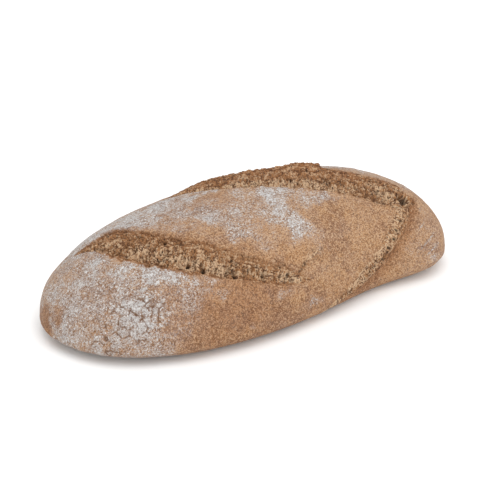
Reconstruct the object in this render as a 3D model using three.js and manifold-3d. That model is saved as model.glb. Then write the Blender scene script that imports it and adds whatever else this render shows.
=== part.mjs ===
// A free-form rustic hearth loaf: one long oval bread, baked as one piece on its flat base.
// Millimetres, +Z up. X runs along the loaf, -Y is its front side, and the origin is the middle
// of the base. Three slashes open the crust, and the raised lip of each long one is its ear.
import * as THREE from "three";
import { mergeVertices } from "three/addons/utils/BufferGeometryUtils.js";
import Module from "manifold-3d";

// Driving dimensions
const LENGTH = 300; // if the right end were as long as the left one
const WIDTH = 144;
const CROWN_HEIGHT = 70.2; // top of the plain crust, without the ears
const GIRTH_HEIGHT = 11; // height of the widest outline
const BLUNTNESS = 3.3; // power of the outline along X: 2 is an ellipse, higher is blunter
const TUCK_LENGTH = 43; // how far each end curls under, down to the base
const TUCK_WIDTH = 18; // how far each side curls under
const LEFT_DROOP = 0.2; // share of the height that is lost at the left tip
const RIGHT_DROOP = 0.085; // and at the right tip
const LOBE = { start: 20, full: 85 }; // stations where the right end turns into its own lobe,
const LOBE_SLIMMER = 0.035; // slimmer and lower by this share,
const LOBE_RIM_LIFT = 2; // with its rim this much higher
const TIP = { start: 60, full: 150 }; // stations where the right tip
const TIP_SHORTER = 0.075; // draws in by this share
const TIP_BEND = 12.3; // and bends this far to the front
const WAIST = { depth: 0.125, station: 52, spread: 48 }; // dent in the front, as a share of the width
const SHOULDER_ANGLE = 35; // degrees of the crust that the lattice's side faces cover
const LATTICE = { along: 36, across: 18, up: 10 };

// A slash: stations [x, girth angle in degrees, half width], its depth, and its ear's height.
// The girth angle is 0 at the front side, 90 on the crown and 180 at the back.
const SLASHES = {
  left: {
    stations: [
      [-118, 121, 1], [-110.5, 112.5, 5.5], [-101.7, 101, 11.2], [-95.5, 82, 13.2],
      [-84.5, 63.5, 13.5], [-68.3, 48, 12.3], [-52, 37.3, 10], [-36, 29.3, 7.9],
      [-20, 22.5, 5.8], [-9, 18.5, 3.2], [-3, 16.5, 1],
    ],
    depth: 5.5,
    ear: 1.5,
  },
  crown: {
    stations: [
      [-46, 124, 1], [-34, 119, 5.5], [-18, 111, 10], [10, 96, 12], [45, 78, 13],
      [75, 64, 13], [95, 54, 11], [105, 50, 4],
    ],
    depth: 6,
    ear: 7.6,
  },
  right: {
    stations: [
      [108, 52, 2], [101, 46, 6], [95.3, 41.2, 6.3], [88.6, 33.7, 6.4], [76.5, 21.4, 6.5],
      [62.5, 10.4, 7], [43, 3.2, 6.2], [33.5, 1, 4.8], [22, -1.5, 3.5], [9, -3, 2.4], [-4, -4, 1],
    ],
    depth: 4.5,
    ear: 0,
  },
};
const CUT_STEPS = 22; // steps along a slash
const CUT_LIFT = 9; // how far a cutter stands above the crust
const CRUST_RADIUS = 68; // mean radius of the crust across a slash
const EAR_ROOT = 4; // how deep an ear is rooted in the crust
const EAR_THICKNESS = 7;
const EAR_LEAN = 3; // how far an ear leans over its opening

const HALF_LENGTH = LENGTH / 2;
const HALF_WIDTH = WIDTH / 2;
const CRUST_RISE = CROWN_HEIGHT - GIRTH_HEIGHT;

const { smoothstep } = THREE.MathUtils;

// Places a point of the even loaf at its station: the ends droop, the right end is a smaller
// lobe whose tip draws in and bends, and a waist dents the front. The height is a share of the
// girth's height and a share of the crust's rise.
function settle(x, y, girthShare, crustShare) {
  const lobe = smoothstep(x, LOBE.start, LOBE.full);
  const slim = 1 - LOBE_SLIMMER * lobe;
  const droop = 1 - (x < 0 ? LEFT_DROOP : RIGHT_DROOP) * (x / HALF_LENGTH) ** 2;
  const girth = GIRTH_HEIGHT + LOBE_RIM_LIFT * lobe;
  const height = girth * girthShare + (CROWN_HEIGHT * slim - girth) * crustShare;
  const atWaist = Math.exp(-(((x - WAIST.station) / WAIST.spread) ** 2));
  const waist = 1 - WAIST.depth * atWaist * smoothstep(-y * slim, 0, HALF_WIDTH);
  const tip = smoothstep(x, TIP.start, TIP.full);
  const settledX = x * (1 - TIP_SHORTER * tip);
  return new THREE.Vector3(settledX, y * slim * waist - TIP_BEND * tip, height * droop);
}

// The widest outline of the even loaf, reached from the rim of a square from -1 to 1: its
// corners land where the long sides turn into the round ends.
function outline(a, b) {
  const turnX = HALF_LENGTH * 0.5 ** (1 / BLUNTNESS);
  const turnY = HALF_WIDTH * 0.5 ** 0.5;
  if (Math.abs(a) > Math.abs(b)) {
    const y = (turnY * b) / Math.abs(a);
    const x = HALF_LENGTH * (1 - (y / HALF_WIDTH) ** 2) ** (1 / BLUNTNESS);
    return new THREE.Vector2(Math.sign(a) * x, y);
  }
  const x = (turnX * a) / Math.max(Math.abs(b), 1e-9);
  const y = HALF_WIDTH * Math.sqrt(1 - Math.abs(x / HALF_LENGTH) ** BLUNTNESS);
  return new THREE.Vector2(x, Math.sign(b) * y);
}

// The crust's point at a station x and a girth angle in degrees.
function crustPoint(x, degrees) {
  const angle = THREE.MathUtils.degToRad(degrees);
  const c = Math.cos(angle);
  const s = Math.sin(angle);
  const rise = s > 0 ? CRUST_RISE : GIRTH_HEIGHT;
  const size = Math.sqrt(Math.max(1 - Math.abs(x / HALF_LENGTH) ** BLUNTNESS, 0));
  const radius = size / Math.hypot(c / HALF_WIDTH, s / rise);
  const share = (radius * s) / rise;
  return s > 0 ? settle(x, -radius * c, 1, share) : settle(x, -radius * c, 1 + share, 0);
}

// Moves the points of a box from -1 to 1 onto the loaf: its top face is the crown, its side
// faces are the shoulder and the tucked-under rim, and its bottom face is the flat base.
function boxToLoaf(p) {
  const reach = Math.max(Math.abs(p.x), Math.abs(p.y));
  const rim = outline(p.x, p.y);
  const shoulder = THREE.MathUtils.degToRad(SHOULDER_ANGLE);
  if (p.z >= 0) {
    const inner = p.z > 1 - 1e-6;
    const rise = shoulder * p.z;
    const spread = Math.cos(rise);
    const x = rim.x * spread ** (2 / BLUNTNESS) * (inner ? reach : 1);
    const y = rim.y * spread * (inner ? reach : 1);
    const level = 1 - Math.abs(x / HALF_LENGTH) ** BLUNTNESS - (y / HALF_WIDTH) ** 2;
    return settle(x, y, 1, Math.sqrt(Math.max(level, 0)));
  }
  const curl = (-p.z * Math.PI) / 2;
  const inset = 1 - Math.cos(curl);
  const inner = p.z < -1 + 1e-6;
  const x = rim.x * (1 - (TUCK_LENGTH / HALF_LENGTH) * inset) * (inner ? reach : 1);
  const y = rim.y * (1 - (TUCK_WIDTH / HALF_WIDTH) * inset) * (inner ? reach : 1);
  return settle(x, y, inner ? 0 : 1 - Math.sin(curl), 0);
}

// A box of size 2 with its points moved by a rule.
function mappedBox(along, across, up, rule) {
  const geometry = new THREE.BoxGeometry(2, 2, 2, along, across, up);
  const position = geometry.getAttribute("position");
  const point = new THREE.Vector3();
  for (let i = 0; i < position.count; i++) {
    point.fromBufferAttribute(position, i);
    const moved = rule(point);
    position.setXYZ(i, moved.x, moved.y, moved.z);
  }
  return geometry;
}

// The frame of a slash at a share of its way: a point on the crust, the direction across to
// the far lip, the crust's outward direction, and the half width of the opening.
function slashFrame(route, share) {
  const at = route.getPoint(share);
  const ahead = route.getPoint(Math.min(share + 0.01, 1));
  const behind = route.getPoint(Math.max(share - 0.01, 0));
  const centre = crustPoint(at.x, at.y);
  const along = crustPoint(ahead.x, ahead.y).sub(crustPoint(behind.x, behind.y)).normalize();
  const girth = crustPoint(at.x, at.y + 1).sub(crustPoint(at.x, at.y - 1)).normalize();
  const length = crustPoint(at.x + 1, at.y).sub(crustPoint(at.x - 1, at.y)).normalize();
  const outward = new THREE.Vector3().crossVectors(length, girth).normalize();
  const across = new THREE.Vector3().crossVectors(outward, along).normalize();
  return { centre, across, outward, halfWidth: at.z };
}

function slashRoute(slash) {
  const points = slash.stations.map(([x, angle, half]) => new THREE.Vector3(x, angle, half));
  return new THREE.CatmullRomCurve3(points);
}

// The solid that opens a slash: a trough under the crust, deepest towards the far lip.
function slashCutter(slash) {
  const route = slashRoute(slash);
  return mappedBox(CUT_STEPS, 6, 1, (p) => {
    const share = (p.x + 1) / 2;
    const { centre, across, outward, halfWidth } = slashFrame(route, share);
    const fade = Math.min(1, halfWidth / 6);
    const floor = -slash.depth * fade * (1 - p.y ** 2) * (1 + 0.35 * p.y);
    const sag = (p.y * halfWidth) ** 2 / (2 * CRUST_RADIUS);
    const level = p.z > 0 ? CUT_LIFT : floor - sag;
    return centre.addScaledVector(across, p.y * halfWidth).addScaledVector(outward, level);
  });
}

// The ear: a tapered ridge along the far lip, rooted in the crust and leaning over the opening.
function slashEar(slash) {
  const route = slashRoute(slash);
  return mappedBox(CUT_STEPS, 1, 3, (p) => {
    const share = 0.12 + 0.76 * ((p.x + 1) / 2);
    const { centre, across, outward, halfWidth } = slashFrame(route, share);
    const swell = 0.08 + 0.92 * Math.sin((Math.PI * (p.x + 1)) / 2) ** 0.7;
    const climb = (p.z + 1) / 2;
    const thickness = EAR_THICKNESS * (1 - 0.65 * climb ** 2);
    const sideways = halfWidth + EAR_THICKNESS / 2 - EAR_LEAN * climb + (p.y * thickness) / 2;
    const sag = (halfWidth + EAR_THICKNESS / 2) ** 2 / (2 * CRUST_RADIUS);
    const level = -EAR_ROOT - sag + climb * (EAR_ROOT + slash.ear * swell);
    return centre.addScaledVector(across, sideways).addScaledVector(outward, level);
  });
}

const wasm = await Module();
wasm.setup();

function toSolid(geometry) {
  const bare = geometry.clone();
  bare.deleteAttribute("normal");
  bare.deleteAttribute("uv");
  const merged = mergeVertices(bare, 1e-4);
  const vertProperties = new Float32Array(merged.getAttribute("position").array);
  const triVerts = new Uint32Array(merged.index.array);
  return new wasm.Manifold(new wasm.Mesh({ numProp: 3, vertProperties, triVerts }));
}

function toGeometry(solid) {
  const mesh = solid.getMesh();
  const geometry = new THREE.BufferGeometry();
  geometry.setAttribute("position", new THREE.BufferAttribute(mesh.vertProperties, 3));
  geometry.setIndex(new THREE.BufferAttribute(mesh.triVerts, 1));
  geometry.computeVertexNormals();
  return geometry;
}

const { along, across, up } = LATTICE;
let bread = toSolid(mappedBox(along, across, up, boxToLoaf));
for (const slash of Object.values(SLASHES)) bread = bread.subtract(toSolid(slashCutter(slash)));
for (const slash of Object.values(SLASHES)) {
  if (slash.ear > 0) bread = bread.add(toSolid(slashEar(slash)));
}

const crust = new THREE.MeshStandardMaterial({ color: 0xb08c6c, roughness: 0.85, metalness: 0 });
const geometry = toGeometry(bread);
geometry.computeBoundingBox();
const middle = geometry.boundingBox.getCenter(new THREE.Vector3());
geometry.translate(-middle.x, -middle.y, -geometry.boundingBox.min.z);
const loaf = new THREE.Mesh(geometry, crust);
loaf.name = "loaf";

const part = new THREE.Group();
part.add(loaf);
export default part;
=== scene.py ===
"""A rustic hearth loaf: floured crust, three slashes with torn crumb, and a plain studio stage."""

import math

import bmesh
import bpy
import numpy as np
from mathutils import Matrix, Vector, kdtree, noise


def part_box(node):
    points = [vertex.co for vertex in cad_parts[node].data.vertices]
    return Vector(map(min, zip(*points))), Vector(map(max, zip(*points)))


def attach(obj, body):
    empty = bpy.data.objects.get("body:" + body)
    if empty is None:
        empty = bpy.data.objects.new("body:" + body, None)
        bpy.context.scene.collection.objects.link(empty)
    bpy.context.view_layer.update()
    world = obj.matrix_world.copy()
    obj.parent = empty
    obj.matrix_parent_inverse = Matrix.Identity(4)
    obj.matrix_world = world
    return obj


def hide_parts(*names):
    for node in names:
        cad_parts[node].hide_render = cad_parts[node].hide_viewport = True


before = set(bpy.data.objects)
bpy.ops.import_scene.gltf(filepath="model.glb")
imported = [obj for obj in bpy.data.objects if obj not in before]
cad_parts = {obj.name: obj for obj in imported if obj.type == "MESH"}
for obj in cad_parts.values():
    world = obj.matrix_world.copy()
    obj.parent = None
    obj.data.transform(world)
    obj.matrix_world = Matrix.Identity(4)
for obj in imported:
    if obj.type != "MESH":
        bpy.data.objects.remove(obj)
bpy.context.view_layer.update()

bl_info = {
    "name": "Hearth Loaf",
    "version": (1, 0, 0),
    "blender": (4, 5, 0),
    "location": "View3D > Sidebar > Bread",
    "description": "Bakes a free-form rustic loaf with slashes, ears and flour, and sets its stage",
    "category": "Object",
}

LOAF_LOW, LOAF_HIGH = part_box("loaf")
MM = 0.001


# ---- settings


def length_property(name, description, millimetres):
    return bpy.props.FloatProperty(
        name=name, description=description, default=millimetres * MM, unit="LENGTH"
    )


def share_property(name, description, default):
    return bpy.props.FloatProperty(name=name, description=description, default=default, subtype="FACTOR")


def angle_property(name, description, degrees):
    return bpy.props.FloatProperty(
        name=name, description=description, default=math.radians(degrees), subtype="ANGLE"
    )


def plain_property(name, description, default):
    return bpy.props.FloatProperty(name=name, description=description, default=default)


def colour_property(name, description, default):
    return bpy.props.FloatVectorProperty(
        name=name, description=description, default=default, subtype="COLOR", size=3, min=0, max=1
    )


class LoafShape(bpy.types.PropertyGroup):
    """Sizes of the plain loaf, before it is slashed"""

    crown_share: share_property(
        "Crown Share", "Height of the plain crown as a share of the height over the ears", 0.92926
    )
    girth_height: length_property("Girth Height", "Height of the widest outline", 11)
    bluntness: plain_property("Bluntness", "Power of the outline along the loaf; 2 is an ellipse", 3.3)
    tuck_length: length_property("End Tuck", "How far each end curls under", 43)
    tuck_width: length_property("Side Tuck", "How far each side curls under", 18)
    left_droop: share_property("Left Droop", "Share of the height lost at the left tip", 0.2)
    right_droop: share_property("Right Droop", "Share of the height lost at the right tip", 0.085)
    tip_shorter: share_property("Tip Draw-in", "Share of its length that the right tip draws in", 0.075)
    tip_bend: length_property("Tip Bend", "How far the right tip bends to the front", 12.3)
    waist_depth: share_property("Waist", "Dent in the front as a share of the width", 0.125)
    lump_height: length_property("Lumps", "Height of the hand-shaped lumps", 0.9)
    wrinkle_height: length_property("Wrinkles", "Height of the crust's small wrinkles", 0.22)


class CrumbShape(bpy.types.PropertyGroup):
    """Sizes of the torn crumb in the slashes"""

    strand_height: length_property("Strands", "Height of the torn strands", 1.1)
    pore_depth: length_property("Pores", "Depth of the larger pores", 2.2)
    crack_depth: length_property("Cracks", "Depth of the cracks in the flour", 0.5)


class CrustColours(bpy.types.PropertyGroup):
    """Colours of crust, crumb and flour, some of which also paint shade"""

    crust_light: colour_property("Light Crust", "Ochre parts of the bare crust", (0.345, 0.178, 0.076))
    crust_dark: colour_property("Dark Crust", "Reddish parts of the bare crust", (0.225, 0.102, 0.043))
    speck_light: colour_property("Light Grain", "Pale grains in the crust", (0.47, 0.31, 0.185))
    # Also the colour of the flour cracks, partly painted shade.
    bran_and_crack_shade: colour_property("Dark Grain", "Bran grains in the crust", (0.11, 0.05, 0.024))
    flour: colour_property("Flour", "Dusting flour", (0.39, 0.374, 0.365))
    powder: colour_property("Powder", "Where the flour lies thick", (0.84, 0.83, 0.82))
    crumb_pale: colour_property("Pale Crumb", "Pale torn strands", (0.485, 0.33, 0.205))
    crumb_toast: colour_property("Toasted Crumb", "Baked crumb between the strands", (0.275, 0.13, 0.052))
    # Painted shade: the dark brown laid between the torn strands.
    crumb_shade: colour_property("Brown Crumb", "Shaded crumb", (0.10, 0.045, 0.022))
    # Tint of the red mask: baked lips, ears, creases, base and patches, and painted shade low on the front
    # side.
    skin: colour_property("Skin Tint", "Reddish tint of lips and ears", (0.82, 0.73, 0.67))
    # Painted shade: the near-black colour put into pores, hollows, large holes and crease lines, standing for
    # the shadow inside them.
    pore_shade: colour_property("Pore", "Deep inside the pores", (0.04, 0.024, 0.013))


class StageLook(bpy.types.PropertyGroup):
    """Floor, light and camera of the stage"""

    floor_colour: colour_property("Floor", "Pale studio floor", (0.93, 0.93, 0.93))
    floor_size: length_property("Floor Size", "From the middle of the floor to its edges", 6000)
    sky_strength: plain_property("Sky", "Strength of the even white surround", 1.0)
    key_strength: plain_property("Key", "Strength of the soft light from above and behind", 0.9)
    fill_strength: plain_property("Fill", "Strength of the soft light from the front right", 0.9)
    light_spread: angle_property("Light Spread", "Apparent size of the two lights", 60)
    camera_azimuth: angle_property("Camera Azimuth", "Turn of the camera around the loaf", -35.6)
    camera_elevation: angle_property("Camera Elevation", "Height of the camera above the horizon", 25)
    camera_distance: length_property("Camera Distance", "From the loaf to the camera", 1000)
    aim_station: length_property("Aim Station", "Place along the loaf that the camera looks at", 3.9)
    aim_height: length_property("Aim Height", "Height over the base that the camera looks at", 25.7)
    lens: bpy.props.FloatProperty(
        name="Lens", description="Focal length in millimetres", default=110.2, subtype="DISTANCE_CAMERA"
    )


# ---- slashes

# Stations of each slash: place along the loaf in mm, girth angle in degrees (0 at the front
# side, 90 on the crown) and half width in mm.
# Bands across the opening, from the near lip at -1 to the far lip at 1: place across, height in
# mm over the crust, then shares of open crumb, pale strands, red baked skin, torn relief, pores.
# Lean is a list of places across with how far the surface leans over the opening, in mm.
# Lift scales the height of the far side, fade blends the far side back into the crust, paleness
# scales the pale strands, and mottle mixes crumb and skin over the whole width: each is a list of
# places along the loaf in mm with a value.
ALL_ALONG = ((-150, 1), (150, 1))
NOWHERE = ((-150, 0), (150, 0))
SLASHES = {
    "left": {
        "stations": (
            (-118, 121, 1), (-110.5, 112.5, 5.5), (-101.7, 101, 11.2), (-95.5, 82, 13.2),
            (-84.5, 63.5, 13.5), (-68.3, 48, 12.3), (-52, 37.3, 10), (-36, 29.3, 7.9),
            (-20, 22.5, 5.8), (-9, 18.5, 3.2), (-3, 16.5, 1),
        ),
        "bands": (
            (-1.7, 0, 0, 0, 0, 0, 0), (-1.25, 0.4, 0, 0, 0, 0, 0), (-1.07, 0.5, 0, 0, 0.2, 0.1, 0),
            (-1.0, 0.2, 0.5, 0, 0.9, 0.3, 0), (-0.94, -0.9, 0.85, 0, 1, 0.3, 0.1),
            (-0.83, -2.1, 1, 0.2, 0.7, 0.6, 0.3), (-0.69, -2.9, 1, 0.6, 0.3, 0.9, 0.7),
            (-0.45, -2.9, 1, 0.95, 0.05, 1, 0.85),
            (-0.12, -2.1, 1, 1, 0, 1, 0.55), (0.2, -1.5, 1, 0.7, 0.1, 0.9, 0.45),
            (0.45, -1.1, 1, 0.3, 0.3, 0.8, 0.35), (0.78, -0.9, 1, 0.12, 0.5, 0.7, 0.3),
            (0.93, -1.3, 1, 0.05, 0.9, 0.5, 0.5), (1.0, -0.7, 0.8, 0, 0.9, 0.3, 0.1),
            (1.05, 0.4, 0, 0, 0.6, 0, 0), (1.22, 0.5, 0, 0, 0.1, 0, 0), (1.7, 0, 0, 0, 0, 0, 0),
        ),
        "lean": ((0.85, 0), (1.0, 0.8), (1.1, 0.8), (1.3, 0)),
        "lift": ALL_ALONG,
        "fade": ((-75, 0), (-50, 0.3), (-20, 0.4), (0, 0.9)),
        "paleness": ((-118, 0.55), (-95, 0.6), (-80, 0.85), (-60, 1)),
        "mottle": ((-70, 0), (-40, 0.65)),
    },
    "crown": {
        "stations": (
            (-46, 124, 1), (-34, 119, 5.5), (-18, 111, 10), (10, 96, 12), (45, 78, 13),
            (75, 64, 13), (95, 54, 11), (105, 50, 4),
        ),
        "bands": (
            (-1.6, 0, 0, 0, 0, 0, 0), (-1.12, 0.5, 0, 0, 0.1, 0, 0), (-1.0, 0.4, 0.2, 0, 0.6, 0, 0),
            (-0.94, -1.0, 1, 0, 0.9, 0.2, 0.9), (-0.84, -1.9, 1, 0.6, 0.2, 0.8, 0.5),
            (-0.6, -2.0, 1, 0.95, 0, 1, 0.35), (-0.3, -1.2, 1, 0.9, 0, 1, 0.35),
            (-0.05, -0.4, 1, 0.6, 0.2, 0.8, 0.9), (0.1, 0.5, 1, 0.3, 0.5, 0.6, 0.8),
            (0.3, 1.9, 1, 0.4, 0.4, 0.6, 0.1), (0.39, 2.5, 1, 0.3, 0.5, 0.5, 0.1),
            (0.45, 1.7, 1, 0, 1, 0.5, 0.8), (0.53, 2.9, 1, 0.35, 0.6, 0.6, 0.1),
            (0.8, 4.7, 1, 0.1, 0.8, 0.5, 0.1), (1.0, 6.3, 0.9, 0, 0.9, 0.25, 0),
            (1.07, 6.0, 0.2, 0, 0.8, 0.2, 0), (1.2, 4.0, 0, 0, 0.2, 0, 0), (1.5, 2.0, 0, 0, 0, 0, 0),
            (2.0, 0.5, 0, 0, 0, 0, 0), (2.6, 0, 0, 0, 0, 0, 0),
        ),
        "lean": ((0.5, 0), (0.9, 1.4), (1.02, 2.6), (1.2, 0.8), (1.5, 0)),
        "lift": (
            (-44, 0.1), (-34, 0.35), (-18, 0.8), (20, 0.9), (30, 0.95), (40, 1.2), (46, 1.3),
            (48, 0.7), (75, 0.45), (105, 0.2),
        ),
        "fade": NOWHERE,
        "paleness": ((-46, 0.5), (-10, 0.9), (20, 1)),
        "mottle": ((44, 0), (62, 0.9)),
    },
    "right": {
        "stations": (
            (108, 52, 2), (101, 46, 6), (95.3, 41.2, 6.3), (88.6, 33.7, 6.4), (76.5, 21.4, 6.5),
            (62.5, 10.4, 7), (43, 3.2, 6.2), (33.5, 1, 4.8), (22, -1.5, 3.5), (9, -3, 2.4), (-4, -4, 1),
        ),
        "bands": (
            (-2.2, 0, 0, 0, 0, 0, 0), (-1.5, 0.4, 0, 0, 0, 0, 0), (-1.25, 0.7, 0.3, 0.7, 0, 0, 0),
            (-1.05, 0.8, 1, 1, 0, 0.2, 0), (-0.8, 0.4, 1, 0.9, 0, 0.35, 0.5),
            (-0.4, 0.2, 1, 0.8, 0, 0.4, 0.8), (0, 0.2, 1, 0.7, 0, 0.4, 0.8),
            (0.25, -0.1, 1, 0.4, 0.2, 0.3, 0.5), (0.45, -1.0, 1, 0.1, 0.6, 0.3, 0.2),
            (0.65, -2.3, 0.6, 0, 0.9, 0.2, 0), (0.9, -2.5, 0.2, 0, 1, 0.1, 0), (1.15, -1.9, 0, 0, 0.8, 0, 0),
            (1.7, -0.9, 0, 0, 0.2, 0, 0), (2.7, 0, 0, 0, 0, 0, 0),
        ),
        "lean": ((-2, 0), (2, 0)),
        "lift": ALL_ALONG,
        "fade": NOWHERE,
        "paleness": ((0, 0.7), (40, 1)),
        "mottle": NOWHERE,
    },
}

# Thin cracks and scratches: stations as above, then depth in mm, pale, red, pores and flour.
CREASES = (
    (((-10, 21.5, 0.8), (-5, 24, 2.0), (-1, 25.8, 0.8)), 1.0, 0.8, 0.2, 0.9, 0),
    (((-4, 24.6, 0.8), (3, 27.0, 2.0), (8, 28, 1.8), (13.5, 28.9, 0.8)), 0.3, 1, 0, 0, 0.12),
    (((-53, 48, 0.4), (-47, 44, 0.9), (-37, 36.1, 0.9), (-30, 33, 0.4)), 1.0, 0, 0.9, 0.5, 0),
    (((-24, 33, 0.4), (-20, 29, 1.0), (-16, 25, 1.0), (-13, 21, 0.4)), 1.2, 0, 0.8, 0.6, 0),
    (((56, 82, 0.4), (68, 78.5, 1.2), (83, 70.3, 1.3), (96, 65, 0.9), (103, 60, 0.4)), 1.4, 0, 0.9, 0.6, 0),
    (((90, 20, 0.3), (99, 25.5, 0.9), (109, 31.5, 0.3)), 0.3, 0, 0, 0, 0.6),
    (((93, 10.5, 0.3), (104, 16, 1.0), (116, 22.5, 0.3)), 0.3, 0, 0, 0, 0.65),
    (((96, 31, 0.3), (104, 37.5, 0.9), (113, 44.5, 0.3)), 0.3, 0, 0, 0, 0.6),
    (((99, 5.5, 0.3), (108, 9, 0.9), (117, 13, 0.3)), 0.3, 0, 0, 0, 0.6),
    (((92, 31, 0.3), (99, 33, 0.8), (109, 36, 0.3)), 0.3, 0, 0, 0, 0.5),
    (((88, 24, 0.4), (80, 16.5, 1.1), (69, 6.6, 1.2), (59, 1, 1.1), (46, -3, 0.5)), 0.9, 0, 1, 0.15, 0),
)

# Dustings of flour: place along the loaf in mm, girth angle, half length and half width in mm,
# and strength.
DUSTINGS = (
    (-136, 36, 50, 80, 0.52), (-128, 4, 30, 30, 0.36), (-114, 30, 24, 24, 0.64), (-97, 53, 18, 12, 0.85),
    (-126, 84, 18, 18, 0.6), (-118, 86, 11, 8, 0.85), (-104, 70, 15, 9, 0.85), (-90, 46, 15, 7, 0.66),
    (-80, 39, 14, 7, 0.6), (-68, 32, 12, 6, 0.4), (-56, 84, 22, 15, 0.45), (-72, 92, 14, 10, 0.5),
    (-84, 116, 22, 12, 0.85), (-146, 60, 10, 14, 0.7), (106, 24, 26, 44, 0.07),
    (-140, 100, 16, 26, 0.55), (-98, 132, 42, 36, 0.72), (-78, 112, 26, 18, 0.72), (-57, 113, 28, 17, 0.82),
    (-62, 98, 24, 15, 0.62), (-42, 108, 14, 13, 0.66), (-44, 75, 6, 15, 0.72), (-36, 64, 9, 16, 0.52),
    (-15, 72, 46, 32, 0.28), (-35, 52, 16, 10, 0.45), (8, 78, 9, 12, 0.78), (3, 66, 10, 13, 0.84),
    (0, 53, 12, 14, 0.72), (4, 41, 14, 11, 0.5), (35, 60, 11, 8, 0.62), (20, 66, 22, 12, 0.34),
    (-52, 4.3, 5, 3, 0.5), (2, 3, 6, 3, 0.45), (-24, 12.5, 12, 5, 0.25), (-84, 30, 18, 14, 0.3),
    (114, 2, 12, 8, 0.25), (112, 92, 26, 20, 0.3), (84, 104, 40, 13, 0.35), (-30, 150, 64, 28, 0.5),
    (70, 155, 44, 28, 0.35), (-30, 105, 14, 7, 0.85), (-14, 97, 13, 5, 0.9), (-71, 96, 17, 8, 0.72),
)
DUST_BASE = 0.03  # flour that lies everywhere
BARE_SPOTS = (
    (-22, 84, 12, 5, 0.5), (-48, 84, 7, 9, 0.4), (12, 64, 5, 8, 0.4),
    (-149, 147, 9, 15, 1.0), (-28, 90, 12, 8, 0.8), (-128, 60, 9, 11, 0.4), (-122, 5, 12, 6, 0.4),
    (-97, 0, 18, 11, 0.55), (-140, 10, 14, 13, 0.35), (-104, 10, 10, 9, 0.4), (-136, 40, 8, 8, 0.35),
)

# Darker parts of the crust, partly real baked patches and partly painted shade low on the front side: the
# same five numbers.
BAKED_AND_SHADED_SPOTS = (
    (-58, 18, 56, 36, 0.95), (-5, 4, 50, 18, 0.4), (-130, 6, 36, 28, 0.55), (-134, 60, 26, 30, 0.35),
    (-40, 74, 24, 20, 0.35), (-28, 90, 16, 10, 0.7), (-149, 147, 9, 15, 1.3), (-58, 84, 26, 20, 0.45),
    (-20, 58, 16, 10, 0.3), (60, 66, 20, 9, 0.45),
)

# Fields of fine cracks in the floured crust: the same five numbers.
CRACK_FIELDS = ((-116, 27, 22, 18, 1.0), (-106, 38, 14, 10, 0.5), (-134, 12, 18, 14, 0.7))

# Larger single pores of each slash: share of the way along it, place across it, radius and depth
# in mm.
LARGE_PORES = {
    "left": (
        (0.27, 0.62, 1.3, 2.8), (0.385, 0.55, 1.5, 3.0), (0.5, -0.5, 1.7, 2.2), (0.56, -0.62, 2.1, 2.6),
        (0.45, -0.3, 1.0, 1.6), (0.645, -0.5, 1.2, 2.2), (0.68, -0.75, 1.5, 2.0), (0.79, -0.3, 1.1, 1.6),
        (0.66, 0.35, 1.0, 1.4), (0.9, 0.2, 1.4, 1.6), (0.86, 0.7, 0.8, 1.0), (0.7, 0.85, 0.7, 1.0),
    ),
    "crown": (
        (0.36, -0.15, 1.0, 2.0), (0.5, 0.0, 0.9, 1.8), (0.7, 0.1, 1.1, 2.0), (0.8, 0.4, 1.2, 2.0),
        (0.9, 0.5, 1.4, 2.2), (0.955, -0.25, 3.4, 6.0),
    ),
    "right": (
        (0.05, -0.7, 2.6, 4.0), (0.26, -0.35, 1.3, 2.0), (0.31, -0.2, 1.2, 1.8), (0.2, -0.35, 1.1, 1.6),
        (0.37, -0.25, 1.3, 1.9), (0.44, -0.1, 1.2, 1.7), (0.55, -0.2, 1.2, 1.7), (0.6, 0.0, 1.1, 1.7),
    ),
}


def smoothstep(value, low, high):
    t = np.clip((value - low) / (high - low), 0, 1)
    return t * t * (3 - 2 * t)


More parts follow.
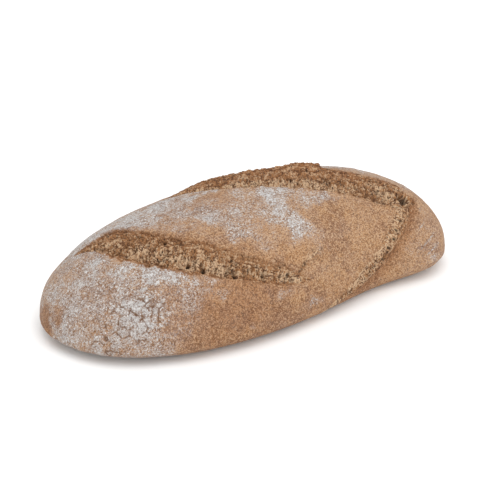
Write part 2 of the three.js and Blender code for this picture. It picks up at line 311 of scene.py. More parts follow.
class LoafForm:
    """The even loaf: turns places on a lattice or on the girth into points, in metres."""

    CORNER = 0.5  # share of the outline where the long sides turn into the round ends
    SHOULDER = math.radians(35)  # crust covered by the lattice's side faces
    LOBE = (20 * MM, 85 * MM)  # stations where the right end turns into a smaller lobe
    LOBE_SLIMMER = 0.035
    LOBE_RIM_LIFT = 2 * MM
    TIP = (60 * MM, 150 * MM)  # stations where the right tip draws in and bends
    WAIST = (52 * MM, 48 * MM)  # station and spread of the dent in the front

    def __init__(self, shape):
        size = LOAF_HIGH - LOAF_LOW
        self.shape = shape
        self.half_length = size.x / (2 - shape.tip_shorter)
        self.half_width = size.y / 2
        self.crown = shape.crown_share * size.z
        self.girth = shape.girth_height
        self.power = shape.bluntness
        self.middle = np.zeros(3)
        around = np.linspace(-math.pi, math.pi, 721)
        for _ in range(3):  # widens the loaf until it fills its box
            rim_x = self.half_length * np.sign(np.cos(around)) * abs(np.cos(around)) ** (2 / self.power)
            rim = self.settle(rim_x, self.half_width * np.sin(around), 1, 0)
            low, high = rim.min(axis=0), rim.max(axis=0)
            self.half_width *= size.y / (high[1] - low[1])
            self.middle += ((LOAF_LOW + LOAF_HIGH) / 2 - Vector((low + high) / 2)) * Vector((1, 1, 0))

    def bulk(self, x):
        """Slimness, droop and girth height at stations x."""
        lobe = smoothstep(x, *self.LOBE)
        lost = np.where(x < 0, self.shape.left_droop, self.shape.right_droop)
        droop = 1 - lost * (x / self.half_length) ** 2
        return 1 - self.LOBE_SLIMMER * lobe, droop, self.girth + self.LOBE_RIM_LIFT * lobe

    def settle(self, x, y, girth_share, crust_share):
        """Lets the ends droop, the right end shrink and bend, and the front dent at its waist."""
        slim, droop, girth = self.bulk(x)
        height = girth * girth_share + (self.crown * slim - girth) * crust_share
        at_waist = np.exp(-(((x - self.WAIST[0]) / self.WAIST[1]) ** 2))
        waist = 1 - self.shape.waist_depth * at_waist * smoothstep(-y * slim, 0, self.half_width)
        tip = smoothstep(x, *self.TIP)
        settled_x = x * (1 - self.shape.tip_shorter * tip)
        settled_y = y * slim * waist - self.shape.tip_bend * tip
        return np.stack([settled_x, settled_y, LOAF_LOW.z + height * droop], axis=-1) + self.middle

    def outline(self, a, b):
        """The widest outline, reached from the rim of a square from -1 to 1."""
        turn_x = self.half_length * self.CORNER ** (1 / self.power)
        turn_y = self.half_width * self.CORNER ** 0.5
        reach = np.maximum(np.maximum(abs(a), abs(b)), 1e-9)
        on_end = abs(a) > abs(b)
        x = turn_x * a / reach
        y = turn_y * b / reach
        end_x = self.half_length * (1 - (y / self.half_width) ** 2) ** (1 / self.power)
        side_y = self.half_width * np.sqrt(1 - abs(x / self.half_length) ** self.power)
        return np.where(on_end, np.sign(a) * end_x, x), np.where(on_end, y, np.sign(b) * side_y)

    def place(self, lattice):
        """Points of the loaf for points of a cube from -1 to 1."""
        a, b, c = lattice.T
        reach = np.maximum(abs(a), abs(b))
        reach = np.where(abs(c) > 1 - 1e-6, reach, 1.0)
        rim_x, rim_y = self.outline(a, b)
        spread = np.cos(self.SHOULDER * np.clip(c, 0, 1))
        inset = 1 - np.cos(np.clip(-c, 0, 1) * math.pi / 2)
        tuck_x = 1 - self.shape.tuck_length / self.half_length * inset
        tuck_y = 1 - self.shape.tuck_width / self.half_width * inset
        x = rim_x * spread ** (2 / self.power) * tuck_x * reach
        y = rim_y * spread * tuck_y * reach
        level = 1 - abs(x / self.half_length) ** self.power - (y / self.half_width) ** 2
        crust_share = np.where(c > 0, np.sqrt(np.maximum(level, 0)), 0)
        girth_share = np.where(c > 0, 1, 1 - np.sin(np.clip(-c, 0, 1) * math.pi / 2))
        return self.settle(x, y, girth_share, crust_share)

    def crust(self, x, degrees):
        """Points of the crust at stations x and girth angles."""
        c = np.cos(np.radians(degrees))
        s = np.sin(np.radians(degrees))
        rise = np.where(s > 0, self.crown - self.girth, self.girth)
        size = np.sqrt(np.maximum(1 - abs(x / self.half_length) ** self.power, 0))
        radius = size / np.hypot(c / self.half_width, s / rise)
        share = radius * s / rise
        return self.settle(x, -radius * c, np.where(s > 0, 1, 1 + share), np.where(s > 0, share, 0))


def curve_through(stations, steps):
    """A smooth curve through the stations, with the same number of points in each gap."""
    knots = np.array(stations, float)
    knots = np.vstack([2 * knots[0] - knots[1], knots, 2 * knots[-1] - knots[-2]])
    pieces = []
    for i in range(1, len(knots) - 2):
        before, start, end, after = knots[i - 1 : i + 3]
        t = np.linspace(0, 1, steps, endpoint=False)[:, None]
        bend = (end - before) * t + (2 * before - 5 * start + 4 * end - after) * t**2
        pieces.append(start + (bend + (3 * (start - end) + after - before) * t**3) / 2)
    return np.vstack(pieces + [knots[-2:-1]])


def unit(vectors):
    return vectors / np.maximum(np.linalg.norm(vectors, axis=-1, keepdims=True), 1e-12)


class Slash:
    """One slash on the loaf: finds how far along and across it a point lies."""

    STEPS = 40  # samples in each gap between stations

    def __init__(self, form, name, recipe):
        self.name = name
        self.recipe = recipe
        route = curve_through(recipe["stations"], self.STEPS)
        x = route[:, 0] * MM
        self.x = x
        self.half = np.maximum(route[:, 2], 0.3) * MM
        self.centre = form.crust(x, route[:, 1])
        girthwise = form.crust(x, route[:, 1] + 1) - form.crust(x, route[:, 1] - 1)
        lengthwise = form.crust(x + MM, route[:, 1]) - form.crust(x - MM, route[:, 1])
        self.outward = unit(np.cross(lengthwise, girthwise))
        self.along = unit(np.gradient(self.centre, axis=0))
        self.across = unit(np.cross(self.outward, self.along))
        steps = np.linalg.norm(np.diff(self.centre, axis=0), axis=1)
        self.way = np.concatenate([[0], np.cumsum(steps)])
        self.tree = kdtree.KDTree(len(self.centre))
        for index, point in enumerate(self.centre):
            self.tree.insert(point, index)
        self.tree.balance()

    def locate(self, points):
        """Way along, distance across, and half width, for each point, in metres."""
        nearest = np.array([self.tree.find(point)[1] for point in points])
        offset = points - self.centre[nearest]
        ahead = np.einsum("ij,ij->i", offset, self.along[nearest])
        side = np.einsum("ij,ij->i", offset, self.across[nearest])
        last = len(self.centre) - 1
        inner = np.where(nearest == last, np.minimum(ahead, 0), ahead)
        inner = np.where(nearest == 0, np.maximum(ahead, 0), inner)
        away = np.maximum(np.einsum("ij,ij->i", offset, offset) - inner**2, 0)
        side = np.copysign(np.sqrt(away), side)
        return nearest, self.way[nearest] + ahead, side, self.half[nearest]


# ---- noise


def ripple(points, size, octaves=3, shift=0.0):
    """Soft noise of about -1 to 1 whose waves are of a given size."""
    places = points / size + np.array([shift, shift * 0.7, -shift])
    return np.array([noise.fractal(Vector(p), 1.0, 2.0, octaves) for p in places])


def cells(points, size, shift=0.0):
    """Distance to the nearest cell centre, gap to the next one, and each cell's own chance."""
    places = points / size + shift
    near = np.empty(len(places))
    gap = np.empty(len(places))
    chance = np.empty(len(places))
    for i, place in enumerate(places):
        distances, centres = noise.voronoi(Vector(place))
        near[i] = distances[0]
        gap[i] = distances[1] - distances[0]
        chance[i] = noise.cell(centres[0] * 57.3)
    return near, gap, chance % 1.0


def patches(form, points, recipes):
    """Soft patches on the crust, each a place, a girth angle, two half sizes and a strength."""
    total = np.zeros(len(points))
    for station, degrees, half_length, half_width, strength in recipes:
        offset = (points - form.crust(np.array([station * MM]), degrees)) / MM
        reach = np.hypot(offset[:, 0] / half_length, np.hypot(offset[:, 1], offset[:, 2]) / half_width)
        total = np.maximum(total, strength * (1 - smoothstep(reach, 0.2, 1.3)))
    return total


# ---- the loaf's mesh

MASKS = ("crumb", "pale", "red", "pore_shade", "flour", "crack")
LATTICE_ROWS = (70, 33, 19)  # along X, Y and Z

# Lattice heights, from -1 at the base to 1 on the crown, above which faces are made finer
CRUST_LEVEL = -0.75
SLASH_LEVEL = -0.55
CRACK_LEVEL = -0.4

# Reach of each finer step, for slashes and for creases: half widths, and a margin
FINER_STEPS = (((1.35, 3 * MM), (1.5, 1.5 * MM)), ((1.06, 0.8 * MM), (1.5, 0.3 * MM)))
SLASH_REACH = 2.7  # half widths over which a slash moves the crust
CREASE_REACH = 2.5  # half widths over which a crease does


def cut_lattice(bm, counts):
    """Cuts a cube's faces into rows along X, Y and Z."""
    for axis, count in enumerate(counts):
        rows = [e for e in bm.edges if abs((e.verts[0].co - e.verts[1].co)[axis]) > 1e-6]
        bmesh.ops.subdivide_edges(bm, edges=rows, cuts=count - 1, use_grid_fill=True)


def refine(bm, wanted):
    """Quarters the faces whose centres are wanted."""
    bm.faces.ensure_lookup_table()
    centres = np.array([face.calc_center_median() for face in bm.faces])
    chosen = wanted(centres)
    edges = {edge for index in np.flatnonzero(chosen) for edge in bm.faces[index].edges}
    bmesh.ops.subdivide_edges(bm, edges=list(edges), cuts=1, use_grid_fill=True)


def build_lattice(form, slashes, creases):
    """A cube lattice, finer on the crust and finest in the slashes, creases and cracks."""
    bm = bmesh.new()
    bmesh.ops.create_cube(bm, size=2)
    cut_lattice(bm, LATTICE_ROWS)

    def reach_of(openings, centres, half_widths, margin):
        points = form.place(centres)
        near = np.zeros(len(points), bool)
        for opening in openings:
            _, _, side, half = opening.locate(points)
            near |= abs(side) < half * half_widths + margin
        return near & (centres[:, 2] > SLASH_LEVEL)

    def reach_of_cracks(centres):
        return (patches(form, form.place(centres), CRACK_FIELDS) > 0.3) & (centres[:, 2] > CRACK_LEVEL)

    refine(bm, lambda centres: centres[:, 2] > CRUST_LEVEL)
    for slash_reach, crease_reach in FINER_STEPS:
        refine(
            bm,
            lambda centres: reach_of(slashes, centres, *slash_reach)
            | reach_of(creases, centres, *crease_reach)
            | reach_of_cracks(centres),
        )
    return bm


def bake_slash(slash, points, normals, crumb_shape, masks):
    """Opens one slash: moves the points in its reach and fills in their masks."""
    nearest, way, side, half = slash.locate(points)
    hit = np.flatnonzero(abs(side) < half * SLASH_REACH + 1 * MM)
    nearest, way, side, half = nearest[hit], way[hit], side[hit], half[hit]
    x = slash.x[nearest] / MM
    scale = np.clip(half / (8 * MM), 0.12, 1) ** 0.9
    flat = np.stack([way, side, np.full(len(way), slash.half.max())], axis=-1)
    wander = 0.12 * ripple(flat * (1, 0.3, 1), 9 * MM) + 0.09 * ripple(flat * (1, 0.3, 1), 2.2 * MM, 2)
    across = side / half * (1 + wander)
    bands = np.array(slash.recipe["bands"]).T
    level, crumb, pale, red, torn, pores = (np.interp(across, bands[0], band) for band in bands[1:])
    lift, fade, paleness, mottle = (
        np.interp(x, *np.array(slash.recipe[name]).T) for name in ("lift", "fade", "paleness", "mottle")
    )
    pale *= paleness
    blend = fade * smoothstep(across + 0.25 * ripple(flat, 5 * MM, 3, 4.9), 0.25, 0.85)
    level *= (1 + (lift - 1) * smoothstep(across, 0, 0.5)) * (1 - 0.8 * blend)
    level *= 1 - 0.45 * mottle * (across < 0)
    crumb, red, torn = crumb * (1 - blend), red * (1 - 0.7 * blend), torn * (1 - 0.6 * blend)
    lean = np.interp(across, *np.array(slash.recipe["lean"]).T) * MM * scale * lift * (1 - blend)
    narrow = np.clip(half / (3 * MM), 0, 1)

    # Torn crumb: lumps, strands that run across the slash, streaks along it, and pores
    bend = 1.5 * MM * ripple(flat, 6 * MM, 2, 3.1)
    lumps = ripple(flat * (1, 0.6, 1), 4.5 * MM, 3, 1.7)
    blots = ripple(flat, 8 * MM, 3, 6.2)
    drawn = (flat + bend[:, None]) * (1, 0.24, 1)
    strands = np.clip(1 - 2.6 * abs(ripple(drawn, 2.1 * MM, 3, 5.3)), -0.5, 1)
    pale = pale * (0.6 + 0.6 * np.clip(strands, 0, 1) + 0.6 * lumps) * (1 - 0.6 * mottle)
    pale = np.clip(pale + 0.4 * mottle * (0.6 + 2 * blots) * crumb, 0, 1)
    red = np.clip(red * (1 - mottle * (0.5 + blots)), 0, 1)
    pores = np.clip(pores + mottle * (0.1 + 0.8 * lumps), 0, 1)
    hollow = smoothstep(0.2 - strands - 0.6 * lumps, 0, 0.6) * pores
    streaks = ripple((flat + bend[:, None]) * (0.3, 1, 1), 1.7 * MM, 3, 2.9)
    near, _, chance = cells((flat + 0.4 * bend[:, None]) * (1, 0.7, 1), 1.9 * MM, 8.1)
    pore_size = 0.12 + 0.34 * chance * (0.4 + 0.6 * pores)
    pit = (1 - smoothstep(near, pore_size * 0.5, pore_size)) * smoothstep(chance, 0.35, 0.65)
    pit *= np.clip(pores + 0.15, 0, 1)
    fine_near, _, fine_chance = cells(flat * (1, 0.7, 1), 1.15 * MM, 4.4)
    fine_pit = (1 - smoothstep(fine_near, 0.12, 0.38)) * smoothstep(fine_chance, 0.5, 0.8)
    fine_pit *= np.clip(0.25 + pores, 0, 1) * torn
    rough = 0.8 * lumps + (crumb_shape.strand_height / MM) * (strands - 0.4)
    rough = torn * (rough + 0.9 * streaks * (1 - pale) - 0.8 * hollow)
    rough -= (crumb_shape.pore_depth / MM) * pit * (0.5 + 0.3 * chance) + 0.5 * fine_pit
    steps = np.floor(3 * ripple(flat * (1, 0, 0), 14 * MM, 2, 3.3)) / 3
    ragged = (0.8 * steps + 0.3 * ripple(flat * (1, 0, 0), 3 * MM, 2, 6.1)) * smoothstep(across, 0.6, 0.95)
    ragged *= (1 - smoothstep(across, 1.1, 1.5)) * np.clip(bands[1].max() - 1, 0, 1.2)
    level += narrow * rough + ragged * lift

    # Single larger pores
    hole = np.zeros(len(hit))
    for share, place, radius, depth in LARGE_PORES[slash.name]:
        at = share * slash.way[-1]
        half_there = np.interp(at, slash.way, slash.half)
        away = np.hypot(way - at, 0.8 * (side - place * half_there)) / (radius * MM)
        sink = 1 - smoothstep(away + 0.25 * lumps + 0.1 * strands, 0.45, 1.05)
        level -= depth * sink / np.maximum(scale, 0.4)
        hole = np.maximum(hole, sink)

    points[hit] += normals[hit] * (level * scale * MM)[:, None] - slash.across[nearest] * lean[:, None]

    # Painted shade: pits, fine pits, hollows between strands and the large holes get a dark mask for the
    # shadow in these recesses.
    dark = np.maximum(np.maximum.reduce([0.7 * pit, 0.5 * fine_pit, 0.55 * hollow * torn]) * narrow, hole)
    own = np.maximum(crumb, red) * narrow ** 0.5
    stronger = own > masks["own"][hit]
    masks["red"][hit] = np.maximum(masks["red"][hit] * (1 - crumb), np.clip(red, 0, 1))
    masks["covered"][hit] = np.maximum(masks["covered"][hit], np.maximum(crumb, red))
    for name, value in (("crumb", crumb), ("pale", pale * crumb), ("pore_shade", dark), ("own", own)):
        masks[name][hit] = np.where(stronger, np.clip(value, 0, 1), masks[name][hit])
    masks["tear"][hit] = np.where(stronger[:, None], flat, masks["tear"][hit])
    masks["hole"][hit] = np.maximum(masks["hole"][hit], hole)


def press_crease(crease, points, normals, masks):
    """Presses one thin crack into the crust and fills in its masks."""
    depth, pale, red, pores, flour = crease.recipe["finish"]
    _, way, side, half = crease.locate(points)
    hit = np.flatnonzero(abs(side) < half * CREASE_REACH)
    way, side, half = way[hit], side[hit], half[hit]
    flat = np.stack([way, side, np.full(len(way), 3 * MM)], axis=-1)
    side = side + 0.5 * half * ripple(flat * (1, 0, 1), 3 * MM, 2)
    groove = 1 - smoothstep(abs(side) / half, 0.2, 1.0)
    rim = smoothstep(abs(side) / half, 0.7, 1.3) * (1 - smoothstep(abs(side) / half, 1.4, 2.3))
    points[hit] += normals[hit] * (MM * (0.3 * rim - depth * groove) * np.clip(half / MM, 0, 1))[:, None]
    broken = smoothstep(ripple(flat * (1, 0.5, 1), 1.6 * MM, 2, 1.2), -0.2, 0.3)
    share = np.maximum(groove, 0.6 * rim * pale)
    # The pore mask of a crease is painted shade along its dark line.
    for name, value in (
        ("crumb", pale * share), ("pale", pale * share), ("red", red * groove),
        ("covered", share * (flour == 0)), ("flour", flour * groove), ("pore_shade", pores * groove * broken),
    ):
        masks[name][hit] = np.maximum(masks[name][hit], value)


def sculpt(form, slashes, creases, points, normals, shape, crumb_shape):
    """Moves the even loaf's points into the baked loaf, and gives the masks for its finish, painted shade
    among them.
    """
    count = len(points)
    masks = {name: np.zeros(count) for name in MASKS + ("own", "covered", "hole")}
    masks["tear"] = points.copy()
    even = points.copy()
    above = smoothstep(even[:, 2], LOAF_LOW.z + 1 * MM, LOAF_LOW.z + 9 * MM)

    lumps = ripple(even, 46 * MM, 3)
    wrinkles = ripple(even, 5.5 * MM, 3, 2.2) + 0.4 * ripple(even, 2 * MM, 2, 5.1)
    height = above * (shape.lump_height * lumps + shape.wrinkle_height * wrinkles)

    blotches = ripple(even, 11 * MM, 3, 6.6)
    flecks = ripple(even, 3.5 * MM, 3, 9.1)
    drift = np.stack([ripple(even, 14 * MM, 3, shift) for shift in (0.4, 3.8, 7.1)], axis=-1)
    drifted = even + 9 * MM * drift + 1.5 * MM * flecks[:, None]
    flour = DUST_BASE + patches(form, drifted, DUSTINGS) * (1 + 0.5 * blotches + 0.4 * flecks)
    flour *= 1 - patches(form, drifted, BARE_SPOTS)
    masks["flour"] = np.clip(flour + 0.05 * blotches + 0.04 * flecks, 0, 0.92)

    base = 1 - smoothstep(even[:, 2], LOAF_LOW.z + 0.2 * MM, LOAF_LOW.z + 3 * MM)
    # The red mask: toasting on the base, baked patches, and painted shade from the shaded spots low on the
    # front side.
    masks["red"] = np.maximum(patches(form, drifted, BAKED_AND_SHADED_SPOTS) * (1 + 0.3 * blotches), base)

    field = patches(form, even, CRACK_FIELDS)
    cracked = np.flatnonzero(field > 0.02)
    spread = smoothstep(field[cracked] + 0.3 * flecks[cracked], 0.15, 0.6)
    warped = even[cracked] + 1.3 * MM * np.stack(
        [ripple(even[cracked], 4 * MM, 3, shift) for shift in (7.7, 1.9, 4.2)], axis=-1
    )
    _, gap, chance = cells(warped, 6.2 * MM, 2.5)
    broken = smoothstep(ripple(even[cracked], 5 * MM, 3, 3.6), -0.2, 0.15)
    crack = (1 - smoothstep(gap, 0.01, 0.13)) * spread * broken
    puff = smoothstep(gap, 0.0, 0.35) * spread
    height[cracked] += 0.4 * MM * puff * (0.3 + 0.7 * chance) - crumb_shape.crack_depth * crack
    # The crack mask later darkens the cracks in colour: crust showing through, partly painted shade.
    masks["crack"][cracked] = crack
    masks["flour"][cracked] += (0.32 * puff + 0.2 * (chance - 0.5)) * spread

    points += normals * height[:, None]
    for slash in slashes:
        bake_slash(slash, points, normals, crumb_shape, masks)
    for crease in creases:
        press_crease(crease, points, normals, masks)
    masks["flour"] *= 1 - masks["covered"]
    # Painted shade of the large holes joins the pore mask.
    masks["pore_shade"] = np.maximum(masks["pore_shade"], masks["hole"])
    points[:, 2] = np.maximum(points[:, 2], LOAF_LOW.z)
    return masks


CROWN_SHARE = 0.62  # share of the sheet's radius that the crown takes up
SHEET_MIDDLE, SHEET_HALF = (0.5, 0.355), (0.49, 0.345)
BASE_MIDDLE, BASE_HALF = (0.5, 0.86), (0.29, 0.125)


def bake_map(lattice):
    """Texture places: crown and sides as one sheet, and the base as a small one beside it."""
    a, b, c = lattice.T
    reach = np.maximum(abs(a), abs(b))
    radius = np.where(c > 1 - 1e-6, CROWN_SHARE * reach, CROWN_SHARE + (1 - CROWN_SHARE) * (1 - c) / 2)
    square = np.stack([a, b], axis=-1)
    sheet = SHEET_MIDDLE + SHEET_HALF * square * (radius / np.maximum(reach, 1e-9))[:, None]
    return sheet, BASE_MIDDLE + BASE_HALF * square


def read_values(items, name, width, kind=float):
    """A value of each item as an array, with a column for each of its parts."""
    values = np.empty(len(items) * width, kind)
    items.foreach_get(name, values)
    return values.reshape(-1, width) if width > 1 else values


def write_maps(mesh, lattice, masks):
    """Stores the masks as attributes and the texture places as a UV map."""
    for name in MASKS:
        mesh.attributes.new(name, "FLOAT", "POINT").data.foreach_set("value", masks[name].astype("f"))
    tear = mesh.attributes.new("tear", "FLOAT_VECTOR", "POINT")
    tear.data.foreach_set("vector", masks["tear"].astype("f").ravel())

    corners = read_values(mesh.loops, "vertex_index", 1, int)
    totals = read_values(mesh.polygons, "loop_total", 1, int)
    on_base = lattice[:, 2] < -1 + 1e-6
    starts = np.concatenate([[0], np.cumsum(totals)[:-1]])
    base_face = np.minimum.reduceat(on_base[corners].astype(int), starts).astype(bool)
    base_corner = np.repeat(base_face, totals)
    sheet, base = bake_map(lattice)
    places = np.where(base_corner[:, None], base[corners], sheet[corners])
    mesh.uv_layers.new(name="OFBake").data.foreach_set("uv", places.astype("f").ravel())


def make_loaf(settings):
    form = LoafForm(settings.loaf_shape)
    slashes = [Slash(form, name, recipe) for name, recipe in SLASHES.items()]
    creases = [Slash(form, "crease", {"stations": line, "finish": finish}) for line, *finish in CREASES]
    bm = build_lattice(form, slashes, creases)
    mesh = bpy.data.meshes.new("baked_loaf")
    bm.to_mesh(mesh)
    bm.free()

    lattice = read_values(mesh.vertices, "co", 3)
    points = form.place(lattice)
    mesh.vertices.foreach_set("co", points.ravel())
    mesh.update()
    normals = read_values(mesh.vertex_normals, "vector", 3)

    masks = sculpt(form, slashes, creases, points, normals, settings.loaf_shape, settings.crumb_shape)
    mesh.vertices.foreach_set("co", points.ravel())
    mesh.update()
    write_maps(mesh, lattice, masks)
    mesh.shade_smooth()
    return mesh


# ---- materials


class Graph:
    """Short ways to add and join shader nodes."""

    def __init__(self, tree):
        self.tree = tree

    def add(self, kind, settings=None, **inputs):
        node = self.tree.nodes.new(kind)
        for name, value in (settings or {}).items():
            setattr(node, name, value)
        for name, value in inputs.items():
            self.put(node.inputs[name.replace("_", " ")], value)
        return node

    def add_group(self, tree, **inputs):
        return self.add("ShaderNodeGroup", {"node_tree": tree}, **inputs)

    def put(self, socket, value):
        if isinstance(value, bpy.types.NodeSocket):
            self.tree.links.new(value, socket)
        else:
            socket.default_value = value

    def maths(self, operation, a, b=0.0, clamp=False):
        node = self.add("ShaderNodeMath", {"operation": operation, "use_clamp": clamp})
        self.put(node.inputs[0], a)
        self.put(node.inputs[1], b)
        return node.outputs[0]

    def times(self, a, b):
        return self.maths("MULTIPLY", a, b)

    def weigh(self, *parts):
        """The sum of some values, each times its weight."""
        total, *others = [self.times(value, weight) for value, weight in parts]
        for other in others:
            total = self.maths("ADD", total, other)
        return total

    def span(self, value, low, high, to_low=0.0, to_high=1.0):
        node = self.add(
            "ShaderNodeMapRange", {"interpolation_type": "SMOOTHSTEP"},
            Value=value, From_Min=low, From_Max=high, To_Min=to_low, To_Max=to_high,
        )
        return node.outputs["Result"]

    def mix(self, share, a, b, blend="MIX"):
        node = self.add("ShaderNodeMix", {"data_type": "RGBA", "blend_type": blend})
        self.put(node.inputs[0], share)
        self.put(node.inputs[6], a)
        self.put(node.inputs[7], b)
        return node.outputs[2]

    def stretch(self, place, scale):
        return self.add("ShaderNodeMapping", Vector=place, Scale=scale).outputs["Vector"]

    def noise(self, place, scale, detail, roughness=0.6):
        node = self.add("ShaderNodeTexNoise", Vector=place, Scale=scale, Detail=detail, Roughness=roughness)
        return node.outputs["Fac"]

    def attribute(self, name, output="Fac"):
        return self.add("ShaderNodeAttribute", {"attribute_name": name}).outputs[output]


def new_group(name, inputs, outputs):
    """An empty node group with named sockets, and its graph, its inputs and its end node."""
    tree = bpy.data.node_groups.new(name, "ShaderNodeTree")
    for way, sockets in (("INPUT", inputs), ("OUTPUT", outputs)):
        for socket_name, kind in sockets:
            tree.interface.new_socket(socket_name, in_out=way, socket_type="NodeSocket" + kind)
    start = tree.nodes.new("NodeGroupInput")
    end = tree.nodes.new("NodeGroupOutput")
    return tree, Graph(tree), start.outputs, end.inputs


def grain_group():
    """Fine mottled grain of a baked crust: its colour and its height."""
    colours = [(name, "Color") for name in ("Light", "Dark", "Pale Grain", "Bran")]
    tree, graph, given, result = new_group(
        "Crust Grain",
        [("Place", "Vector")] + colours,
        [("Colour", "Color"), ("Height", "Float")],
    )
    place = given["Place"]
    broad = graph.noise(place, 32, 3)
    patch = graph.noise(place, 150, 3)
    fine = graph.noise(place, 700, 1)
    finest = graph.noise(place, 1350, 1)
    tone = graph.weigh((broad, 0.6), (patch, 0.4))
    colour = graph.mix(graph.span(tone, 0.405, 0.565), given["Dark"], given["Light"])
    for grains, low, high, strength, tint in (
        (fine, 0.52, 0.67, 0.64, "Pale Grain"), (fine, 0.46, 0.33, 0.64, "Bran"),
        (finest, 0.52, 0.66, 0.75, "Pale Grain"), (finest, 0.47, 0.35, 0.7, "Bran"),
    ):
        colour = graph.mix(graph.span(grains, low, high, 0, strength), colour, given[tint])
    graph.put(result["Colour"], colour)
    graph.put(result["Height"], graph.weigh((patch, 0.8), (fine, 0.7), (finest, 0.4)))
    return tree


def flour_group():
    """How densely dusting flour covers a surface, and how bright it is, from how much lies there."""
    tree, graph, given, result = new_group(
        "Flour Dust",
        [("Place", "Vector"), ("Amount", "Float")],
        [("Cover", "Float"), ("Bright", "Float"), ("Gap", "Float")],
    )
    place = given["Place"]
    clumps = graph.noise(place, 300, 3)
    grains = graph.noise(place, 850, 1)
    dust = graph.noise(place, 1650, 1)
    mottle = graph.weigh((grains, 0.36), (dust, 0.44), (clumps, 0.2))
    sway = graph.span(given["Amount"], 0, 0.4, 0, 4.8)
    swing = graph.times(graph.maths("SUBTRACT", mottle, 0.5), sway)
    graph.put(result["Cover"], graph.maths("ADD", given["Amount"], swing, clamp=True))
    graph.put(result["Bright"], graph.span(mottle, 0.5, 0.64))
    graph.put(result["Gap"], graph.span(mottle, 0.48, 0.38))
    return tree


def crumb_group():
    """Torn crumb: pale strands across the slash, toasted crumb streaked along it, painted shade between the
    strands, and pores.
    """
    colours = [(name, "Color") for name in ("Pale", "Toast", "Brown", "Pore")]
    tree, graph, given, result = new_group(
        "Torn Crumb",
        [("Place", "Vector"), ("Paleness", "Float")] + colours,
        [("Colour", "Color"), ("Height", "Float")],
    )
    place = given["Place"]
    strands = graph.noise(graph.stretch(place, (1.0, 0.22, 1.0)), 850, 2)
    streaks = graph.noise(graph.stretch(place, (0.35, 1.0, 1.0)), 640, 3, 0.65)
    lumps = graph.noise(place, 260, 2)
    specks = graph.noise(place, 1150, 1)
    bran = graph.noise(place, 950, 1)
    squeezed = graph.stretch(place, (1.0, 0.6, 1.0))
    pores = graph.add("ShaderNodeTexVoronoi", Vector=squeezed, Scale=620.0, Randomness=1.0)
    pit = graph.span(pores.outputs["Distance"], 0.36, 0.14)
    pit = graph.times(pit, graph.span(lumps, 0.42, 0.6, 0.05, 0.75))
    turned = graph.times(graph.maths("SUBTRACT", strands, streaks), given["Paleness"])
    fibres = graph.maths("ADD", streaks, turned)
    tone = graph.weigh((fibres, 0.54), (lumps, 0.18), (specks, 0.28))
    lean = graph.span(given["Paleness"], 0, 1, 0.545, 0.468)
    bright = graph.span(tone, graph.maths("SUBTRACT", lean, 0.045), graph.maths("ADD", lean, 0.045))
    colour = graph.mix(bright, given["Toast"], given["Pale"])
    # Bran specks and painted shade: where streak and bran noise run low, the crumb darkens towards the shade
    # brown, which stands for the shadow between the torn strands; the same noise also lifts the bump.
    shade = graph.weigh((streaks, 0.5), (bran, 0.5))
    colour = graph.mix(graph.span(shade, 0.5, 0.43, 0, 0.9), colour, given["Brown"])
    # Painted shade: the small pits darken towards the pore colour.
    colour = graph.mix(pit, colour, given["Pore"])
    graph.put(result["Colour"], colour)
    graph.put(result["Height"], graph.weigh((strands, 0.6), (shade, 0.8), (specks, 0.5), (pit, -0.8)))
    return tree


def new_material(name):
    material = bpy.data.materials.new(name)
    material.use_nodes = True
    graph = Graph(material.node_tree)
    return material, graph, material.node_tree.nodes["Principled BSDF"]


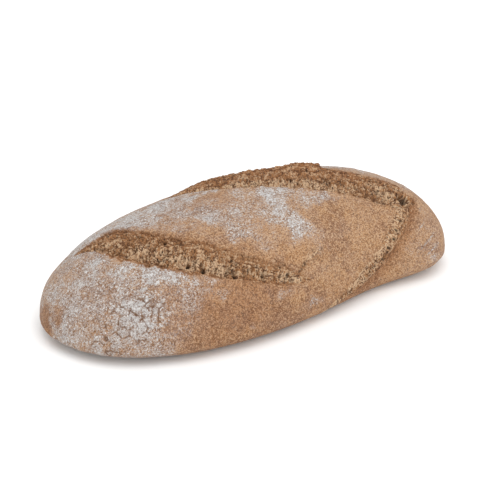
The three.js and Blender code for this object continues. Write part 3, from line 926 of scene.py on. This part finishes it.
def crust_material(colours):
    material, graph, surface = new_material("baked_crust")
    place = graph.tree.nodes.new("ShaderNodeTexCoord").outputs["Object"]
    tear = graph.attribute("tear", "Vector")
    crumb, pale, red, pore_shade, flour, crack = (graph.attribute(name) for name in MASKS)

    def paint(name):
        return (*getattr(colours, name), 1.0)

    grain = graph.add_group(
        grain_group(), Place=place, Light=paint("crust_light"), Dark=paint("crust_dark"),
        Pale_Grain=paint("speck_light"), Bran=paint("bran_and_crack_shade"),
    )
    dust = graph.add_group(flour_group(), Place=place, Amount=flour).outputs
    whole = graph.maths("SUBTRACT", 1.0, graph.times(crack, 0.6))
    cover = graph.times(dust["Cover"], whole)
    powder = graph.mix(graph.times(dust["Bright"], 0.5), paint("flour"), paint("powder"))
    crust = graph.mix(cover, grain.outputs["Colour"], powder)
    gap = graph.times(dust["Gap"], graph.span(flour, 0.1, 0.5, 0, 0.6))
    # The flour cracks darken to the bran colour: partly the crust showing through the split flour, partly
    # painted shade in the narrow cracks; the gaps are dark grains among the flour.
    split = graph.maths("MAXIMUM", graph.times(crack, 0.85), gap)
    crust = graph.mix(split, crust, paint("bran_and_crack_shade"))

    torn = graph.add_group(
        crumb_group(), Place=tear, Paleness=pale, Pale=paint("crumb_pale"),
        Toast=paint("crumb_toast"), Brown=paint("crumb_shade"), Pore=paint("pore_shade"),
    )
    colour = graph.mix(crumb, crust, torn.outputs["Colour"])
    # Multiplies in the reddish tint: baked lips, ears, creases, base and patches, and painted shade low on
    # the front side.
    colour = graph.mix(red, colour, paint("skin"), "MULTIPLY")
    # Painted shade: pores, holes, hollows and crease lines darken towards the near-black pore colour.
    colour = graph.mix(graph.times(pore_shade, 0.8), colour, paint("pore_shade"))
    graph.put(surface.inputs["Base Color"], colour)

    dry = graph.span(cover, 0, 1, 0.72, 0.95)
    graph.put(surface.inputs["Roughness"], graph.span(crumb, 0, 1, dry, 0.88))
    surface.inputs["Specular IOR Level"].default_value = 0.3

    crust_height = graph.maths("ADD", grain.outputs["Height"], graph.times(cover, 0.35))
    crust_height = graph.times(crust_height, graph.maths("SUBTRACT", 1.0, crumb))
    torn_height = graph.times(torn.outputs["Height"], graph.times(crumb, 1.2))
    height = graph.maths("ADD", crust_height, torn_height)
    bump = graph.add("ShaderNodeBump", Strength=0.9, Distance=0.0006, Height=height)
    graph.put(surface.inputs["Normal"], bump.outputs["Normal"])
    return material


def floor_material(colour):
    material, _, surface = new_material("pale_floor")
    surface.inputs["Base Color"].default_value = (*colour, 1.0)
    surface.inputs["Roughness"].default_value = 0.9
    surface.inputs["Specular IOR Level"].default_value = 0.1
    return material


# ---- operators


def add_object(context, name, data):
    thing = bpy.data.objects.new(name, data)
    context.scene.collection.objects.link(thing)
    return thing


class BREAD_OT_loaf(bpy.types.Operator):
    """Bake the loaf: one piece with its crust, slashes and ears"""

    bl_idname = "bread.loaf"
    bl_label = "Bake Loaf"

    def execute(self, context):
        settings = context.scene.bread
        mesh = make_loaf(settings)
        piece = add_object(context, "baked_loaf", mesh)
        mesh.materials.append(crust_material(settings.crust_colours))
        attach(piece, "root")
        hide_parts("loaf")
        return {"FINISHED"}


class BREAD_OT_stage(bpy.types.Operator):
    """Set the stage: floor, soft light and camera"""

    bl_idname = "bread.stage"
    bl_label = "Set Stage"

    def execute(self, context):
        look = context.scene.bread.stage_look
        self.add_floor(context, look)
        self.add_light(context, look)
        self.add_camera(context, look)
        context.scene.view_settings.view_transform = "Standard"
        return {"FINISHED"}

    def add_floor(self, context, look):
        bm = bmesh.new()
        bmesh.ops.create_grid(bm, x_segments=1, y_segments=1, size=look.floor_size)
        bmesh.ops.translate(bm, verts=bm.verts, vec=(0, 0, LOAF_LOW.z))
        mesh = bpy.data.meshes.new("studio_floor")
        bm.to_mesh(mesh)
        bm.free()
        floor = add_object(context, "studio_floor", mesh)
        mesh.materials.append(floor_material(look.floor_colour))

    def add_light(self, context, look):
        world = bpy.data.worlds.new("white_surround")
        world.use_nodes = True
        surround = world.node_tree.nodes["Background"]
        surround.inputs["Strength"].default_value = look.sky_strength
        surround.inputs["Color"].default_value = (1, 1, 1, 1)
        context.scene.world = world
        # Each light comes from so much to the camera's right, so much towards it, and so high
        self.add_sun(context, look, "soft_key", look.key_strength, (0.1, 0.15, 1.0))
        self.add_sun(context, look, "soft_fill", look.fill_strength, (0.6, 0.8, 0.35))

    def add_sun(self, context, look, name, strength, place):
        turn = look.camera_azimuth
        right = Vector((math.cos(turn), math.sin(turn), 0))
        back = Vector((math.sin(turn), -math.cos(turn), 0))
        sun = bpy.data.lights.new(name, "SUN")
        sun.energy = strength
        sun.angle = look.light_spread
        lamp = add_object(context, name, sun)
        lamp.rotation_mode = "QUATERNION"
        source = right * place[0] + back * place[1] + Vector((0, 0, place[2]))
        lamp.rotation_quaternion = source.to_track_quat("Z", "Y")

    def add_camera(self, context, look):
        turn, rise = look.camera_azimuth, look.camera_elevation
        back = Vector((math.sin(turn) * math.cos(rise), -math.cos(turn) * math.cos(rise), math.sin(rise)))
        aim = Vector((look.aim_station, 0, LOAF_LOW.z + look.aim_height))
        camera = add_object(context, "camera", bpy.data.cameras.new("camera"))
        camera.data.lens = look.lens
        camera.data.sensor_width = 36
        camera.location = aim + back * look.camera_distance
        camera.rotation_mode = "QUATERNION"
        camera.rotation_quaternion = back.to_track_quat("Z", "Y")
        context.scene.camera = camera


class BreadSettings(bpy.types.PropertyGroup):
    """All settings of the loaf and its stage"""

    loaf_shape: bpy.props.PointerProperty(name="Loaf", description="Loaf sizes", type=LoafShape)
    crumb_shape: bpy.props.PointerProperty(name="Crumb", description="Crumb sizes", type=CrumbShape)
    crust_colours: bpy.props.PointerProperty(name="Colours", description="Finish", type=CrustColours)
    stage_look: bpy.props.PointerProperty(name="Stage", description="Floor and light", type=StageLook)


class BREAD_PT_sidebar(bpy.types.Panel):
    """Sidebar panel with the settings of the loaf and its stage, and the two buttons"""

    bl_label = "Hearth Loaf"
    bl_idname = "BREAD_PT_sidebar"
    bl_space_type = "VIEW_3D"
    bl_region_type = "UI"
    bl_category = "Bread"

    def draw(self, context):
        settings = context.scene.bread
        for group in (settings.loaf_shape, settings.crumb_shape, settings.crust_colours, settings.stage_look):
            box = self.layout.box()
            for name in group.__annotations__:
                box.prop(group, name)
        self.layout.operator(BREAD_OT_loaf.bl_idname)
        self.layout.operator(BREAD_OT_stage.bl_idname)


CLASSES = (
    LoafShape, CrumbShape, CrustColours, StageLook, BreadSettings,
    BREAD_OT_loaf, BREAD_OT_stage, BREAD_PT_sidebar,
)


def register():
    for cls in CLASSES:
        bpy.utils.register_class(cls)
    bpy.types.Scene.bread = bpy.props.PointerProperty(type=BreadSettings)


def unregister():
    del bpy.types.Scene.bread
    for cls in reversed(CLASSES):
        bpy.utils.unregister_class(cls)


def main():
    register()
    bpy.ops.bread.stage()
    bpy.ops.bread.loaf()


if __name__ == "__main__":
    main()
